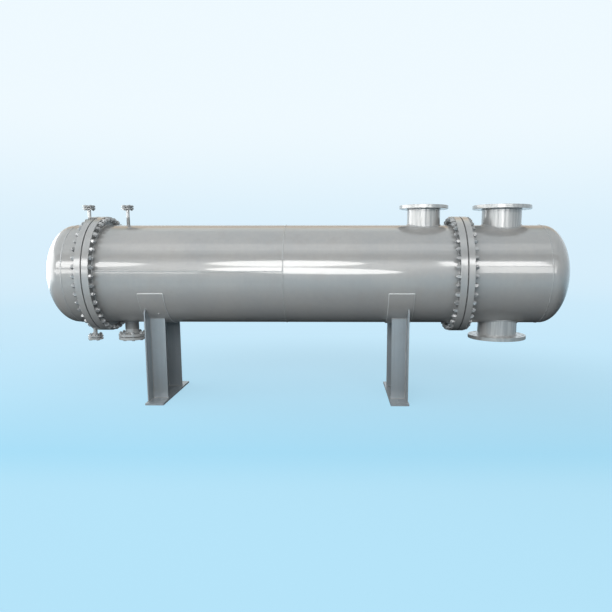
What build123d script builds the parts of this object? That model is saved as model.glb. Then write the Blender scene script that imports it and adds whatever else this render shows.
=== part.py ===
from build123d import *
import os

# A fixed-tubesheet shell and tube heat exchanger on two saddles, in millimetres.
# X runs along the vessel from the middle of its tubes, towards the channel end.
# Y goes across and Z up, with the floor under the saddles at zero.

# Vessel
shell_bore = 800.0
shell_wall = 10.0
axis_height = 1050.0
shell_seam_x = 60.0

# Tubes and tubesheets
tube_length = 3000.0
tube_stick_out = 3.0
tubesheet_thickness = 55.0
bundle_clearance = 12.0
entry_space_height = 100.0

# Body flange joints at the two ends of the shell
rim_stand_out = 70.0
body_flange_thickness = 52.0
body_gasket_thickness = 5.0
body_gasket_width = 32.0
rim_chamfer = 2.0

# Rear bonnet at the left, channel at the right
rear_barrel_length = 135.0
channel_barrel_length = 620.0
head_straight_length = 25.0
head_depth_share = 0.25
partition_thickness = 12.0
partition_gap = 0.5

# Impingement plate under the shell inlet
impingement_length = 340.0
impingement_width = 300.0
impingement_thickness = 8.0

# Places of the nozzles along the vessel
inlet_from_tubesheet = 231.0
outlet_from_tubesheet = 148.0
shell_vent_from_tubesheet = 162.0
rear_vent_from_flange = 52.0
rear_drain_from_flange = 64.0

# How far each nozzle's sealing face stands out from the shell
upper_nozzle_stand_out = 160.0
lower_nozzle_stand_out = 138.0
outlet_stand_out = 126.0
vent_stand_out = 145.0
drain_stand_out = 137.0

# Nozzle fit-up
fit_gap = 0.3
neck_set_back = 8.0
flange_chamfer = 1.5
raised_face_height = 2.0
small_gasket_thickness = 2.0

# Saddles
saddle_set_in = 442.0
saddle_base_width = 150.0
saddle_base_length = 800.0
saddle_base_thickness = 16.0
anchor_spacing = 530.0
anchor_hole_diameter = 24.0
saddle_web_length = 690.0
saddle_web_thickness = 10.0
saddle_web_inset = 5.0
web_corner_height = 750.0
web_corner_run = 30.0
web_corner_rise = 40.0
rib_offset = 215.0
rib_thickness = 10.0
rib_inset = 14.0
pad_width = 200.0
pad_thickness = 8.0
pad_half_angle = 70.0


class NozzleSize:
    """Pipe and flange sizes of one nominal bore, the flange measured outwards from its pipe.

    The raised face and the bolt line each stand out from the pipe by their own distance,
    and the rim stands out from the bolt line. A flange is drilled where it has a bolt count.
    """

    def __init__(self, pipe_diameter, pipe_wall, flange_thickness, face_stand_out, bolt_stand_out,
                 rim_margin, bolt_hole=0.0, bolt_count=0):
        self.pipe_radius = pipe_diameter / 2
        self.bore_radius = self.pipe_radius - pipe_wall
        self.flange_thickness = flange_thickness
        self.face_radius = self.pipe_radius + face_stand_out
        self.bolt_circle_radius = self.pipe_radius + bolt_stand_out
        self.rim_radius = self.bolt_circle_radius + rim_margin
        self.bolt_hole = bolt_hole
        self.bolt_count = bolt_count


channel_nozzle = NozzleSize(pipe_diameter=323.9, pipe_wall=9.5, flange_thickness=31.8,
                            face_stand_out=28.55, bolt_stand_out=53.95, rim_margin=25.4,
                            bolt_hole=25.4, bolt_count=12)
inlet_nozzle = NozzleSize(pipe_diameter=273.1, pipe_wall=9.3, flange_thickness=30.2,
                          face_stand_out=25.35, bolt_stand_out=44.425, rim_margin=22.225,
                          bolt_hole=25.4, bolt_count=12)
outlet_nozzle = NozzleSize(pipe_diameter=114.3, pipe_wall=6.0, flange_thickness=23.9,
                           face_stand_out=21.45, bolt_stand_out=38.1, rim_margin=19.05)
vent_nozzle = NozzleSize(pipe_diameter=26.7, pipe_wall=3.9, flange_thickness=14.3,
                         face_stand_out=8.1, bolt_stand_out=21.55, rim_margin=14.3)
drain_nozzle = NozzleSize(pipe_diameter=33.4, pipe_wall=4.5, flange_thickness=17.5,
                          face_stand_out=8.7, bolt_stand_out=27.75, rim_margin=17.55)

# Worked-out places, all from the sizes above
bore_radius = shell_bore / 2
shell_radius = bore_radius + shell_wall
rim_radius = shell_radius + rim_stand_out
bundle_top = bore_radius - entry_space_height
upper_nozzle_face = shell_radius + upper_nozzle_stand_out
lower_nozzle_face = shell_radius + lower_nozzle_stand_out
outlet_face = shell_radius + outlet_stand_out
vent_face = shell_radius + vent_stand_out
drain_face = shell_radius + drain_stand_out
tubesheet_face_x = tube_length / 2 - tube_stick_out
shell_end_x = tubesheet_face_x - tubesheet_thickness
flange_inner_x = tubesheet_face_x + body_gasket_thickness
flange_outer_x = flange_inner_x + body_flange_thickness
rear_seam_x = flange_outer_x + rear_barrel_length
channel_seam_x = flange_outer_x + channel_barrel_length
head_depth = shell_bore * head_depth_share
channel_nozzle_x = flange_outer_x + channel_barrel_length / 2
saddle_x = shell_end_x - saddle_set_in
pad_inner_radius = shell_radius + fit_gap
pad_outer_radius = pad_inner_radius + pad_thickness

STANDING = (Align.CENTER, Align.CENTER, Align.MIN)
QUARTER_TURN = 90
HALF_TURN = 2 * QUARTER_TURN


def keep(solid, node):
    """Write one piece to its own file."""
    export_step(solid, f"parts/{node}.step")


def disc(radius, length, chamfer_size=0.0):
    """A round plate standing on zero, with both rims broken by a small chamfer."""
    plate = Cylinder(radius, length, align=STANDING)
    if chamfer_size:
        plate = chamfer(plate.edges().filter_by(GeomType.CIRCLE), chamfer_size)
    return plate


def tube(outer_radius, inner_radius, length):
    return disc(outer_radius, length) - disc(inner_radius, length)


def along_vessel(shape, x):
    """Lay a shape that stands on zero along the vessel axis, from x towards the channel."""
    return Pos(x, 0, axis_height) * Rot(0, QUARTER_TURN, 0) * shape


def vessel_cylinder(radius):
    """A cylinder on the vessel axis, longer than the whole vessel, for cutting."""
    length = tube_length + shell_bore + channel_barrel_length
    return Pos(0, 0, axis_height) * Rot(0, QUARTER_TURN, 0) * Cylinder(radius, length)


def at_nozzle(shape, x, side):
    """Put a nozzle piece, drawn upwards from the vessel axis, above (1) or below (-1) the vessel."""
    turn = 0 if side > 0 else HALF_TURN
    return Pos(x, 0, axis_height) * Rot(turn, 0, 0) * shape


def nozzle_hole(size, face, x, side):
    """The hole in the wall that a nozzle's neck passes through."""
    return at_nozzle(disc(size.pipe_radius + fit_gap, face), x, side)


def flange_body(size, bore):
    """A raised-face flange lying on its back, its sealing face upwards. A bore of zero makes it a blind."""
    back = size.flange_thickness - raised_face_height
    body = disc(size.rim_radius, back, flange_chamfer)
    body += Pos(0, 0, back) * disc(size.face_radius, raised_face_height)
    if bore:
        body -= disc(bore, size.flange_thickness)
    if size.bolt_count:
        half_step = HALF_TURN / size.bolt_count
        holes = PolarLocations(size.bolt_circle_radius, size.bolt_count, start_angle=half_step)
        body -= holes * disc(size.bolt_hole / 2, size.flange_thickness)
    return body


def make_nozzle(name, size, face, x, side, blinded):
    """Neck and flange of one nozzle, with a gasket and a blind flange where it is closed."""
    neck_length = face - neck_set_back
    neck = tube(size.pipe_radius, size.bore_radius, neck_length)
    neck = at_nozzle(neck, x, side) - vessel_cylinder(bore_radius)
    keep(neck, f"{name}_neck")
    flange = Pos(0, 0, face - size.flange_thickness) * flange_body(size, size.pipe_radius + fit_gap)
    keep(at_nozzle(flange, x, side), f"{name}_flange")
    if blinded:
        gasket = tube(size.face_radius, size.pipe_radius, small_gasket_thickness)
        keep(at_nozzle(Pos(0, 0, face) * gasket, x, side), f"{name}_gasket")
        blind_top = face + small_gasket_thickness + size.flange_thickness
        blind = Pos(0, 0, blind_top) * Rot(HALF_TURN, 0, 0) * flange_body(size, 0)
        keep(at_nozzle(blind, x, side), f"{name}_blind")


def dish(depth, radius):
    """A solid of a dished head's shape: a short round skirt closed by half an ellipsoid."""
    curve = EllipticalCenterArc((head_straight_length, 0), depth, radius, start_angle=0, arc_size=QUARTER_TURN)
    skirt = Polyline((head_straight_length, radius), (0, radius), (0, 0), (head_straight_length + depth, 0))
    return revolve(make_face([curve, skirt]), Axis.X)


def elliptical_head(seam_x, side):
    """A dished head with its skirt. Side is 1 at the channel, -1 at the rear."""
    head = dish(head_depth + shell_wall, shell_radius) - dish(head_depth, bore_radius)
    turn = 0 if side > 0 else HALF_TURN
    return Pos(side * seam_x, 0, axis_height) * Rot(0, 0, turn) * head


def make_shell():
    """Two rolled courses that meet at a round seam, cut out for their nozzles."""
    left = along_vessel(tube(shell_radius, bore_radius, shell_end_x + shell_seam_x), -shell_end_x)
    left -= nozzle_hole(vent_nozzle, vent_face, shell_vent_x, 1)
    left -= nozzle_hole(outlet_nozzle, outlet_face, outlet_x, -1)
    keep(left, "shell_left_course")
    right = along_vessel(tube(shell_radius, bore_radius, shell_end_x - shell_seam_x), shell_seam_x)
    right -= nozzle_hole(inlet_nozzle, upper_nozzle_face, inlet_x, 1)
    keep(right, "shell_right_course")


def make_tubesheets():
    plate = disc(rim_radius, tubesheet_thickness, rim_chamfer)
    keep(along_vessel(plate, -tubesheet_face_x), "rear_tubesheet")
    keep(along_vessel(plate, shell_end_x), "front_tubesheet")


def make_body_gaskets():
    gasket = tube(bore_radius + body_gasket_width, bore_radius, body_gasket_thickness)
    keep(along_vessel(gasket, -flange_inner_x), "rear_gasket")
    keep(along_vessel(gasket, tubesheet_face_x), "channel_gasket")


def make_rear_bonnet():
    ring = disc(rim_radius, body_flange_thickness, rim_chamfer) - disc(bore_radius, body_flange_thickness)
    keep(along_vessel(ring, -flange_outer_x), "rear_bonnet_flange")
    barrel = along_vessel(tube(shell_radius, bore_radius, rear_barrel_length), -rear_seam_x)
    barrel -= nozzle_hole(vent_nozzle, vent_face, rear_vent_x, 1)
    barrel -= nozzle_hole(drain_nozzle, drain_face, rear_drain_x, -1)
    keep(barrel, "rear_bonnet_barrel")
    keep(elliptical_head(rear_seam_x, -1), "rear_bonnet_head")


def make_channel():
    ring = disc(rim_radius, body_flange_thickness, rim_chamfer) - disc(bore_radius, body_flange_thickness)
    keep(along_vessel(ring, flange_inner_x), "channel_flange")
    barrel = along_vessel(tube(shell_radius, bore_radius, channel_barrel_length), flange_outer_x)
    barrel -= nozzle_hole(channel_nozzle, upper_nozzle_face, channel_nozzle_x, 1)
    barrel -= nozzle_hole(channel_nozzle, lower_nozzle_face, channel_nozzle_x, -1)
    keep(barrel, "channel_barrel")
    keep(elliptical_head(channel_seam_x, 1), "channel_head")


def make_partition():
    """The level plate that splits the channel into an upper and a lower pass."""
    half_width = bore_radius - partition_gap
    dish_start = channel_seam_x + head_straight_length
    outline = make_face([
        Polyline((dish_start, -half_width), (tubesheet_face_x, -half_width),
                 (tubesheet_face_x, half_width), (dish_start, half_width)),
        EllipticalCenterArc((dish_start, 0), head_depth - partition_gap, half_width,
                            start_angle=-QUARTER_TURN, arc_size=HALF_TURN),
    ])
    plate = extrude(outline, partition_thickness / 2, both=True)
    keep(Pos(0, 0, axis_height) * plate, "pass_partition")


def make_bundle():
    """The tubes and baffles as one body, cut level at the top to let the inlet flow spread."""
    bundle = disc(bore_radius - bundle_clearance, 2 * shell_end_x)
    bundle = along_vessel(bundle, -shell_end_x)
    cap = Box(tube_length, shell_bore, shell_bore, align=STANDING)
    keep(bundle - Pos(0, 0, axis_height + bundle_top) * cap, "tube_bundle")
    plate = Box(impingement_length, impingement_width, impingement_thickness, align=STANDING)
    keep(Pos(inlet_x, 0, axis_height + bundle_top) * plate, "impingement_plate")


def between_x(x_a, x_b, width, height):
    """A plate standing on zero between two places along the vessel."""
    plate = Box(abs(x_b - x_a), width, height, align=STANDING)
    return Pos((x_a + x_b) / 2, 0, 0) * plate


def make_saddle(name, outward):
    """One saddle, its web on the outer side. Outward is -1 at the left and 1 at the right."""
    centre_x = outward * saddle_x
    cradle = vessel_cylinder(pad_outer_radius + fit_gap)

    arc = {"start_angle": 270 - pad_half_angle, "arc_size": 2 * pad_half_angle}
    outer_arc = CenterArc((0, 0), pad_outer_radius, **arc)
    inner_arc = CenterArc((0, 0), pad_inner_radius, **arc)
    ends = [Line(outer_arc @ end, inner_arc @ end) for end in (0, 1)]
    section = Plane.YZ * make_face([outer_arc, inner_arc, *ends])
    pad = Pos(centre_x, 0, axis_height) * extrude(section, pad_width / 2, both=True)
    keep(pad, f"{name}_pad")

    outer_edge = centre_x + outward * saddle_base_width / 2
    inner_edge = centre_x - outward * saddle_base_width / 2
    web_outer = outer_edge - outward * saddle_web_inset
    web_inner = web_outer - outward * saddle_web_thickness
    rib_end = inner_edge + outward * rib_inset

    half_web = saddle_web_length / 2
    half_top = half_web - web_corner_run
    outline = make_face(Polyline(
        (-half_web, saddle_base_thickness), (half_web, saddle_base_thickness),
        (half_web, web_corner_height), (half_top, web_corner_height + web_corner_rise),
        (-half_top, web_corner_height + web_corner_rise), (-half_web, web_corner_height),
        close=True))
    web = extrude(Plane.YZ * outline, saddle_web_thickness / 2, both=True)
    keep(Pos((web_outer + web_inner) / 2, 0, 0) * web - cradle, f"{name}_web")

    rib = Pos(0, 0, saddle_base_thickness) * between_x(web_inner, rib_end, rib_thickness, axis_height)
    ribs = Pos(0, -rib_offset, 0) * rib + Pos(0, rib_offset, 0) * rib
    keep(ribs - cradle, f"{name}_ribs")

    base = between_x(outer_edge, inner_edge, saddle_base_length, saddle_base_thickness)
    anchors = GridLocations(0, anchor_spacing, 1, 2)
    base -= Pos(centre_x, 0, 0) * anchors * disc(anchor_hole_diameter / 2, saddle_base_thickness)
    keep(base, f"{name}_base")


inlet_x = shell_end_x - inlet_from_tubesheet
outlet_x = -shell_end_x + outlet_from_tubesheet
shell_vent_x = -shell_end_x + shell_vent_from_tubesheet
rear_vent_x = -flange_outer_x - rear_vent_from_flange
rear_drain_x = -flange_outer_x - rear_drain_from_flange

os.makedirs("parts", exist_ok=True)

make_shell()
make_tubesheets()
make_body_gaskets()
make_rear_bonnet()
make_channel()
make_partition()
make_bundle()
make_nozzle("shell_inlet", inlet_nozzle, upper_nozzle_face, inlet_x, 1, blinded=False)
make_nozzle("channel_top", channel_nozzle, upper_nozzle_face, channel_nozzle_x, 1, blinded=False)
make_nozzle("channel_bottom", channel_nozzle, lower_nozzle_face, channel_nozzle_x, -1, blinded=False)
make_nozzle("shell_outlet", outlet_nozzle, outlet_face, outlet_x, -1, blinded=True)
make_nozzle("shell_vent", vent_nozzle, vent_face, shell_vent_x, 1, blinded=True)
make_nozzle("rear_vent", vent_nozzle, vent_face, rear_vent_x, 1, blinded=True)
make_nozzle("rear_drain", drain_nozzle, drain_face, rear_drain_x, -1, blinded=True)
make_saddle("left_saddle", -1)
make_saddle("right_saddle", 1)
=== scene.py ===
# %% [markdown]
# # Dressing a shell and tube heat exchanger
#
# The vessel is a painted steel shell with dished ends, bolted together at two wide
# body flanges and standing on two saddles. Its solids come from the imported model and
# stay as they are. This script adds what they leave out: studs and nuts, weld beads,
# tubes and baffles, and then the paint, steel and gasket finishes, the light and the
# camera. Every size is in metres, with X along the vessel and Z up.

import math

import bmesh
import bpy
from mathutils import Matrix, Vector


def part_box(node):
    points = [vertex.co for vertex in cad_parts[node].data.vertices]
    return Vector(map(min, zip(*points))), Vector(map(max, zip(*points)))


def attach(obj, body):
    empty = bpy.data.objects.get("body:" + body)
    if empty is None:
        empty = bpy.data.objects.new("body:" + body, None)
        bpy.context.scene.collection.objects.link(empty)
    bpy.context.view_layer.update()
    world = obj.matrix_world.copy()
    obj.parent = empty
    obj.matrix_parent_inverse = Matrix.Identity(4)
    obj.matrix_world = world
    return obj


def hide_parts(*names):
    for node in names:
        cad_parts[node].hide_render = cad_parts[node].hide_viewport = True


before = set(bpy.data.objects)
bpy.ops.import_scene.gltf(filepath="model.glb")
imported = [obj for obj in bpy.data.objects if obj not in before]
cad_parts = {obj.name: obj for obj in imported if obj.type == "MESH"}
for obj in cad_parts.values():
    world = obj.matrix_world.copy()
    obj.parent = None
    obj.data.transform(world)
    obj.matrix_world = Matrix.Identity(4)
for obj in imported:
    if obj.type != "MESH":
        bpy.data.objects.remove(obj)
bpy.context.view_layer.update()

# %% [markdown]
# ## Sizes read from the model
#
# A piece that is added later has to sit on the solids exactly. The places it needs
# are read from the boxes of the nodes rather than typed again, so they can't drift
# apart from the model. Only sizes that no solid has, such as those of nuts and weld
# beads, are written down here.

# %% Sizes
shell_low, shell_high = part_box("shell_left_course")
AXIS_Z = (shell_low.z + shell_high.z) / 2
SHELL_R = shell_high.y
SHELL_END = -shell_low.x
SEAM_X = shell_high.x
TUBESHEET_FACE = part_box("front_tubesheet")[1].x
FLANGE_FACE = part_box("channel_flange")[1].x
REAR_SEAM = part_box("rear_bonnet_barrel")[0].x
CHANNEL_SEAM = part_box("channel_barrel")[1].x
RIM_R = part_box("front_tubesheet")[1].y
PAD_R = AXIS_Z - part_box("left_saddle_pad")[0].z


def nozzle(name, side):
    """Where one nozzle stands: its place along the vessel, its pipe's radius, and its flange's faces."""
    pipe_low, pipe_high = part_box(name + "_neck")
    ring_low, ring_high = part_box(name + "_flange")
    near, far = (ring_low.z, ring_high.z) if side > 0 else (ring_high.z, ring_low.z)
    return {
        "x": (pipe_low.x + pipe_high.x) / 2,
        "side": side,
        "pipe": (pipe_high.x - pipe_low.x) / 2,
        "back": abs(near - AXIS_Z),
        "face": abs(far - AXIS_Z),
    }


UP, DOWN = 1, -1
NOZZLES = {name: nozzle(name, side) for name, side in (
    ("shell_inlet", UP), ("channel_top", UP), ("channel_bottom", DOWN), ("shell_outlet", DOWN),
    ("shell_vent", UP), ("rear_vent", UP), ("rear_drain", DOWN))}
print("shell radius", round(SHELL_R, 4), "axis height", round(AXIS_Z, 4))

# %% [markdown]
# ## The camera
#
# The photograph was taken from in front, a little right of the middle of the shell and
# slightly above its axis, so that the left end shows its dished head. The camera stands
# where the vanishing lines of the saddles and flanges say. The lens is a moderate wide
# angle, and a small shift puts the vessel where the photograph has it in the square.

# %% Camera
CAMERA_PLACE = Vector((0.5051, -4.879, 1.265))
CAMERA_DOWN = 0.1515
CAMERA_LEFT = 0.0125

camera_data = bpy.data.cameras.new("photo_camera")
camera_data.sensor_width = 36.0
camera_data.lens = 33.453
camera_data.shift_x = -0.0427
camera_data.shift_y = 0.0479
camera_data.clip_start = 0.05
camera_data.clip_end = 200.0
camera = bpy.data.objects.new("photo_camera", camera_data)
camera.location = CAMERA_PLACE
camera.rotation_euler = (math.pi / 2 - CAMERA_DOWN, 0, CAMERA_LEFT)
bpy.context.scene.collection.objects.link(camera)
bpy.context.scene.camera = camera
bpy.context.scene.view_settings.view_transform = "Standard"
print("camera", [round(v, 3) for v in camera.location], "lens", camera_data.lens)

# %% [markdown]
# ## Writing node trees as sums
#
# Materials and Geometry Nodes are both trees of nodes. Placing each node and link by
# hand hides the idea behind them, so two small classes do it. `Value` wraps a socket
# and takes part in Python sums: `1 - mask * 0.5` adds the Math nodes that it needs.
# Python calls the reflected form, such as `__rsub__`, when the plain number comes first.
# `Tree.node` adds any other node from its type, its settings and its inputs.

# %% Node tree helpers


def operator(operation):
    """A method that adds one Math node for a value and what comes after it."""
    return lambda value, *others: value.math(operation, value, *others)


def reflected(operation):
    """The same for a value that comes second."""
    return lambda value, first: value.math(operation, first, value)


class Value:
    """A node's output that can be used in a sum. Each operator adds one Math node."""

    def __init__(self, tree, socket):
        self.tree, self.socket = tree, socket

    def math(self, operation, *terms):
        return self.tree.node("ShaderNodeMath", {"operation": operation}, dict(enumerate(terms)))

    __add__ = __radd__ = operator("ADD")
    __sub__ = operator("SUBTRACT")
    __rsub__ = reflected("SUBTRACT")
    __mul__ = __rmul__ = operator("MULTIPLY")
    __truediv__ = operator("DIVIDE")
    __rtruediv__ = reflected("DIVIDE")
    __mod__ = operator("FLOORED_MODULO")
    __pow__ = operator("POWER")
    __gt__ = operator("GREATER_THAN")
    __lt__ = operator("LESS_THAN")
    __abs__ = operator("ABSOLUTE")

    def ramp(self, start, end):
        """Zero below start, one above end, and a smooth rise between them."""
        settings = {"interpolation_type": "SMOOTHSTEP"}
        inputs = {"Value": self, "From Min": start, "From Max": end}
        return self.tree.node("ShaderNodeMapRange", settings, inputs)


class Tree:
    """A node tree that is filled by one method."""

    def __init__(self, tree):
        self.tree = tree

    def node(self, kind, settings=None, inputs=None, output=0):
        """Add a node. Settings come first, because they can change which sockets it has."""
        node = self.tree.nodes.new(kind)
        for name, setting in (settings or {}).items():
            setattr(node, name, setting)
        for name, value in (inputs or {}).items():
            if isinstance(value, Value):
                self.tree.links.new(value.socket, node.inputs[name])
            else:
                node.inputs[name].default_value = value
        return Value(self, node.outputs[output]) if len(node.outputs) else None

    def part(self, vector, letter):
        """One coordinate of a vector."""
        return self.node("ShaderNodeSeparateXYZ", None, {0: vector}, output=letter)

    def mix(self, factor, low, high):
        """Blend two colours."""
        settings = {"data_type": "RGBA"}
        return self.node("ShaderNodeMix", settings, {0: factor, 6: low, 7: high}, output=2)

    def blend(self, factor, low, high):
        """Blend two surfaces."""
        return self.node("ShaderNodeMixShader", None, {0: factor, 1: low, 2: high})


def distance(a, b):
    """How far two offsets reach together, at right angles to each other."""
    return (a * a + b * b) ** 0.5


# %% [markdown]
# ## What a painted surface is made of
#
# Industrial paint is never one flat colour. It is sprayed in overlapping passes, so its
# tone drifts over half a metre or so, it has a fine orange-peel texture that softens
# reflections, and dust settles on it. `Finish` gives each material the same few tools:
# object coordinates, which are the vessel's own metres, noise at a stated grain size,
# colour mixes, relief, and one Principled surface at the end.

# %% Finish helper


class Finish(Tree):
    """A material whose patterns are measured in metres on the object."""

    def __init__(self, name):
        self.material = bpy.data.materials.new(name)
        self.material.use_nodes = True
        super().__init__(self.material.node_tree)
        self.tree.nodes.clear()
        self.place = self.node("ShaderNodeTexCoord", output="Object")

    def axis(self, letter):
        return self.part(self.place, letter)

    def noise(self, grain, detail=3.0, roughness=0.5, stretch=None):
        """Noise with lumps about one grain across, from 0 to 1. A small stretch factor draws them out."""
        place = self.place
        if stretch:
            place = self.node("ShaderNodeMapping", None, {"Vector": place, "Scale": stretch})
        inputs = {"Vector": place, "Scale": 1.0 / grain, "Detail": detail, "Roughness": roughness}
        return self.node("ShaderNodeTexNoise", None, inputs)

    def bump(self, height, distance, strength=1.0, below=None):
        """Turn a height pattern into relief. Another bump can lie below it."""
        inputs = {"Height": height, "Distance": distance, "Strength": strength}
        if below:
            inputs["Normal"] = below
        return self.node("ShaderNodeBump", None, inputs)

    def orange_peel(self, below):
        """The fine texture of sprayed paint, over the relief below it."""
        return self.bump(self.noise(0.004, 2.0), 0.00006, 0.6, below)

    def surface(self, **inputs):
        """The Principled surface, with underscores in input names read as spaces."""
        named = {name.replace("_", " "): value for name, value in inputs.items()}
        return self.done(self.node("ShaderNodeBsdfPrincipled", None, named))

    def done(self, surface):
        """End the tree with its surface."""
        self.node("ShaderNodeOutputMaterial", None, {"Surface": surface})
        return self.material


def grey(level, tint=(1.0, 1.0, 1.0)):
    """A colour of one lightness, leaning a little to a tint."""
    return (level * tint[0], level * tint[1], level * tint[2], 1.0)


# %% [markdown]
# ## The vessel's paint
#
# The shell, barrels and heads carry a glossy silver-grey enamel over rolled plate. The
# long bright band in the photograph is a clear reflection, so the paint has a coat: a
# thin, smooth layer over a softer base. Rolled plate is never truly round, and very low
# waves in the relief bend that band a little, as they do on the real shell. Rolling also
# leaves a low ridge along a straight seam, which shows on the left course. Towards the
# ground, the saddles' paint turns darker. Behind the nuts and along the body gaskets the
# colour is darkened, part bolt grease and part painted shade, and the grease dulls the coat.

# %% Paint
COOL = (0.955, 1.0, 1.02)
WARM = (1.0, 1.0, 0.98)
RUSTY = (1.04, 1.0, 0.93)
PRIMER = (0.115, 0.085, 0.07, 1.0)
RUSTED_PRIMER = (0.20, 0.105, 0.06, 1.0)
COAT = 0.9
COAT_IOR = 1.7
SEAM_TURN = 5.0
PEAK_REACH = 0.09
PEAK_HEIGHT = 2.2
JOINT_X = (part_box("channel_gasket")[0].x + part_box("channel_gasket")[1].x) / 2
JOINT_FADE = (0.003, 0.008)
RIM_FADE = (RIM_R - 0.010, RIM_R - 0.003)
# Heights where the paint turns darker towards the ground, but not at the very foot.
FOOT_FADE = (0.01, 0.04)
LOW_DARKENING_FADE = (-0.1, 0.6)


def seam_peak(paint):
    """The low ridge along the left course's straight seam, as a height."""
    up = paint.axis("Z") - AXIS_Z
    turn = up.math("ARCTAN2", up, paint.axis("Y") * -1.0) - math.radians(SEAM_TURN)
    share = 1 - abs(turn) * SHELL_R / PEAK_REACH
    rise = share.math("MAXIMUM", share, 0.0)
    knocks = paint.noise(0.05, 2.0, stretch=(0.7, 1.0, 1.0))
    along = paint.axis("X")
    return rise * (knocks * 1.8 + PEAK_HEIGHT) * (along < SEAM_X) * (along > -SHELL_END)


def shade_and_grease_mask(paint):
    """One on the ring faces that the nuts stand on, and on both sides of the body gaskets, where grease and
    painted shade darken the paint.
    """
    rim = distance(paint.axis("Z") - AXIS_Z, paint.axis("Y")).ramp(*RIM_FADE)
    joint = 1 - abs(abs(paint.axis("X")) - JOINT_X).ramp(*JOINT_FADE)
    return joint.math("MAXIMUM", joint, 1 - rim)


def within_bore(paint, centre_x, radius):
    """One on the wall of a nozzle's bore."""
    return distance(paint.axis("X") - centre_x, paint.axis("Y")) < radius + 0.001


def make_paint(name, level, gloss=0.07, rough=0.32, dust=0.25, waves=1.0, metal=0.0, streaks=0.0,
               bore=None, tint=(1.0, 1.0, 1.0), low_darkening=0.0, grease_and_shade=0.0):
    """Silver-grey enamel. Streaks run down it, and a bore, as (centre x, radius), is left in primer.

    It turns darker towards the ground, and behind the nuts and along the gaskets it is darkened by grease and
    painted shade."""
    paint = Finish(name)
    cool, warm, rusty = ([a * b for a, b in zip(lean, tint)] for lean in (COOL, WARM, RUSTY))
    mottle = paint.noise(0.045, 4.0, 0.6)
    runs = paint.noise(0.024, 3.0, stretch=(1.0, 1.0, 0.03))
    tone = paint.noise(0.55, 2.0) * 0.6 + mottle * 0.25 + runs * 0.15
    colour = paint.mix(tone.ramp(0.3, 0.7), grey(level * 0.93, cool), grey(level * 1.06, warm))
    streak = runs.ramp(0.42, 0.62) * streaks
    colour = paint.mix(streak, colour, grey(level * 0.62, cool))
    # Darker towards the ground, except at the very foot.
    if low_darkening:
        height = paint.axis("Z")
        darkened_low = height.ramp(*FOOT_FADE) * (1 - height.ramp(*LOW_DARKENING_FADE)) * low_darkening
        colour = paint.mix(darkened_low, colour, grey(level * 0.6, cool))
    coat = COAT
    grease_shade_film = 0.0
    # Behind the nuts and beside the gaskets the colour is darkened, part grease and part painted shade
    # between the parts, and the coat thins there.
    if grease_and_shade:
        grease_shade_film = shade_and_grease_mask(paint) * grease_and_shade
        colour = paint.mix(grease_shade_film, colour, grey(level * 0.3, cool))
        coat = (1 - grease_shade_film) * coat
    speckle = paint.noise(0.006, 2.0).ramp(0.62, 0.72)
    settled = paint.noise(0.12, 4.0, 0.65).ramp(0.48, 0.7) * dust
    colour = paint.mix(settled + speckle * dust * 0.3, colour, grey(level * 0.82, rusty))
    softness = mottle * 0.08 + settled * 0.25 + streak * 0.2 + grease_shade_film * 0.25 + (rough - 0.04)

    wave = paint.noise(0.24, 1.0, stretch=(0.45, 1.0, 1.0))
    relief = paint.orange_peel(paint.bump(wave * waves + seam_peak(paint), 0.0022, 0.7))
    if bore:
        inside = within_bore(paint, *bore)
        rust = paint.noise(0.03, 5.0, 0.65).ramp(0.4, 0.65)
        colour = paint.mix(inside, colour, paint.mix(rust, PRIMER, RUSTED_PRIMER))
        softness = softness + inside * 0.35
        coat = (1 - inside) * coat
        metal = (1 - inside) * metal
    return paint.surface(Base_Color=colour, Roughness=softness, Normal=relief, Metallic=metal,
                         Coat_Weight=coat, Coat_Roughness=gloss, Coat_IOR=COAT_IOR)


VESSEL_PAINT = make_paint("silver_grey_enamel", 0.32)
# The flange enamel is darkened behind the nuts and along the gaskets, with grease and painted shade.
FLANGE_PAINT = make_paint("silver_grey_flange_enamel", 0.34, gloss=0.14, waves=0.15, grease_and_shade=0.75)
VENT_PAINT = make_paint("dull_vent_enamel", 0.2, gloss=0.35, rough=0.5, dust=0.6, waves=0.1)
# The saddle enamel turns darker towards the ground.
SADDLE_PAINT = make_paint("grey_saddle_enamel", 0.28, gloss=0.25, rough=0.45, dust=0.4, waves=0.5,
                          streaks=0.25, tint=(0.88, 1.0, 1.1), low_darkening=0.55)
print("paints:", VESSEL_PAINT.name, FLANGE_PAINT.name, SADDLE_PAINT.name)

# %% [markdown]
# ## Open flanges
#
# The three big nozzles are open. Their raised faces are bare machined steel with fine
# concentric grooves that grip the gasket, and their bores show rusty primer. The height
# tells the raised face from the painted ring behind it. The distance from the nozzle's
# own centre line draws the grooves, and tells a neck's bore from its painted outside.

# %% Open nozzle finishes
GROOVE_PITCH = 0.0008
MACHINED = (0.46, 0.45, 0.43, 1.0)
FLASH_RUST = (0.23, 0.13, 0.08, 1.0)
NECK_WALLS = {"shell_inlet": 0.0093, "channel_top": 0.0095, "channel_bottom": 0.0095}
FACE_MIDDLE = (NOZZLES["channel_top"]["face"] - NOZZLES["channel_bottom"]["face"]) / 2 + AXIS_Z
FACE_REACH = (NOZZLES["channel_top"]["face"] + NOZZLES["channel_bottom"]["face"]) / 2


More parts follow.
